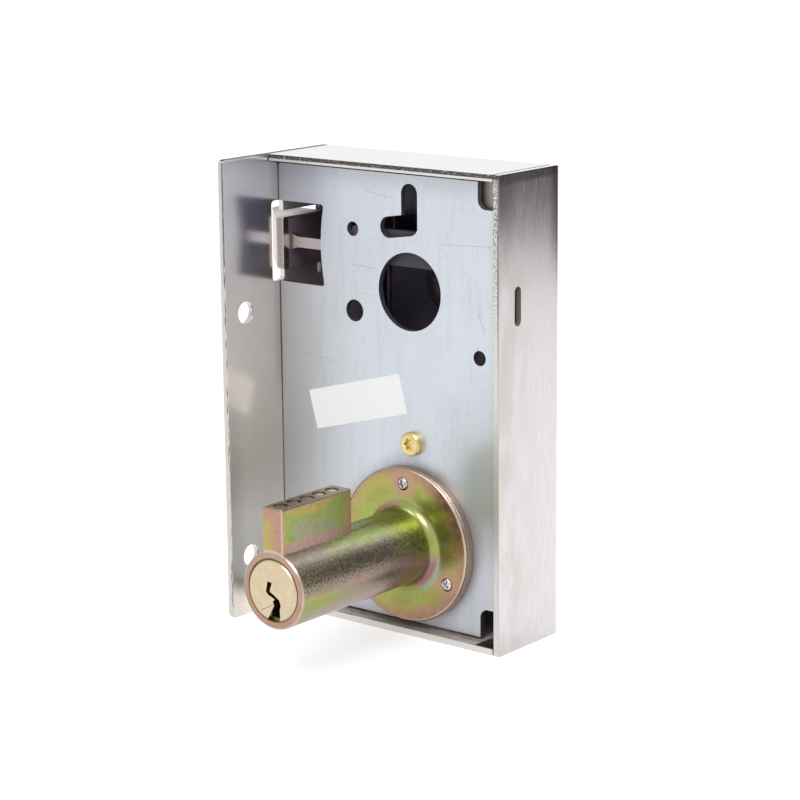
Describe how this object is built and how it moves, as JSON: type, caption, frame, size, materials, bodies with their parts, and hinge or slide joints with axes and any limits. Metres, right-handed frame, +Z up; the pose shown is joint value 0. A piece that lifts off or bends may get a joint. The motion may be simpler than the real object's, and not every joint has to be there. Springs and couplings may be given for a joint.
{
  "type": "rim lock",
  "caption": "Surface-mounted box lock with an open-sided sheet case, a bevelled spring latch and a pin cylinder that reaches through the door.",
  "frame": {"origin": "on the underside of the case's bottom wall, below the cylinder's axis, in the plane of the base plate's door side", "axes": "+X from the forend to the back wall of the case, +Y from the door into the case, +Z up along the case's length"},
  "size_m": [0.0758, 0.0842, 0.105],
  "materials": {
    "case_steel": "brushed stainless sheet",
    "plate_zinc": "dull bluish galvanised sheet",
    "label_film": "blank paper-white film",
    "latch_nickel": "satin nickel-plated steel",
    "inner_steel": "plain bright steel",
    "spring_steel": "oiled spring wire",
    "screw_brass": "plain brass",
    "screw_zinc": "bright zinc-plated steel",
    "cylinder_passivated": "yellow-passivated casting with an iridescent sheen",
    "plug_brass": "machined brass",
    "knob_metal": "satin die-cast metal"
  },
  "bodies": {
    "lock_case": {"case": "case_steel", "base_plate": "plate_zinc", "plate_ledges": "plate_zinc", "label": "label_film", "spring_seat": "inner_steel", "latch_spring": "spring_steel", "guide_bracket": "inner_steel", "pivot_post": "inner_steel", "lever_washer": "inner_steel", "brass_screw": "screw_brass", "cylinder_body": "cylinder_passivated", "flange_ring": "cylinder_passivated", "flange_screws": "screw_zinc", "pin_caps": "screw_brass", "driver_pins": "screw_brass", "knob_bush": "screw_brass"},
    "latch": {"latch_head": "latch_nickel", "latch_tail": "latch_nickel", "tail_pin": "inner_steel"},
    "lever": {"lever": "inner_steel", "lever_pin": "inner_steel"},
    "plug": {"cylinder_plug": "plug_brass", "key_pins": "screw_brass", "drive_cam": "inner_steel", "cam_screws": "screw_zinc", "cam_pin": "inner_steel"},
    "knob": {"inside_knob": "knob_metal", "knob_spindle": "inner_steel", "knob_crank": "inner_steel", "crank_screw": "screw_zinc"}
  },
  "joints": [
    {"name": "latch_slide", "type": "slide", "parent": "lock_case", "child": "latch", "axis": [1, 0, 0], "range_m": [0, 0.0098], "stiffness_N_per_m": 500, "springref_m": -0.008, "deforming": ["latch_spring"]},
    {"name": "lever_pivot", "type": "hinge", "parent": "lock_case", "child": "lever", "pos_m": [0.0009, 0.00415, 0.0433], "axis": [0, 1, 0], "range_deg": [0, 12.82]},
    {"name": "plug_turn", "type": "hinge", "parent": "lock_case", "child": "plug", "pos_m": [0, -0.02, 0.0205], "axis": [0, -1, 0], "range_deg": [0, 80.72]},
    {"name": "knob_turn", "type": "hinge", "parent": "lock_case", "child": "knob", "pos_m": [0.0001, 0.02, 0.0771], "axis": [0, 1, 0], "range_deg": [0, 57.68]}
  ],
  "couplings": [
    {"joint": "lever_pivot", "follows": "latch_slide", "rad_per_m": 22.814},
    {"joint": "plug_turn", "follows": "latch_slide", "rad_per_m": 143.72},
    {"joint": "knob_turn", "follows": "latch_slide", "rad_per_m": 102.7}
  ]
}
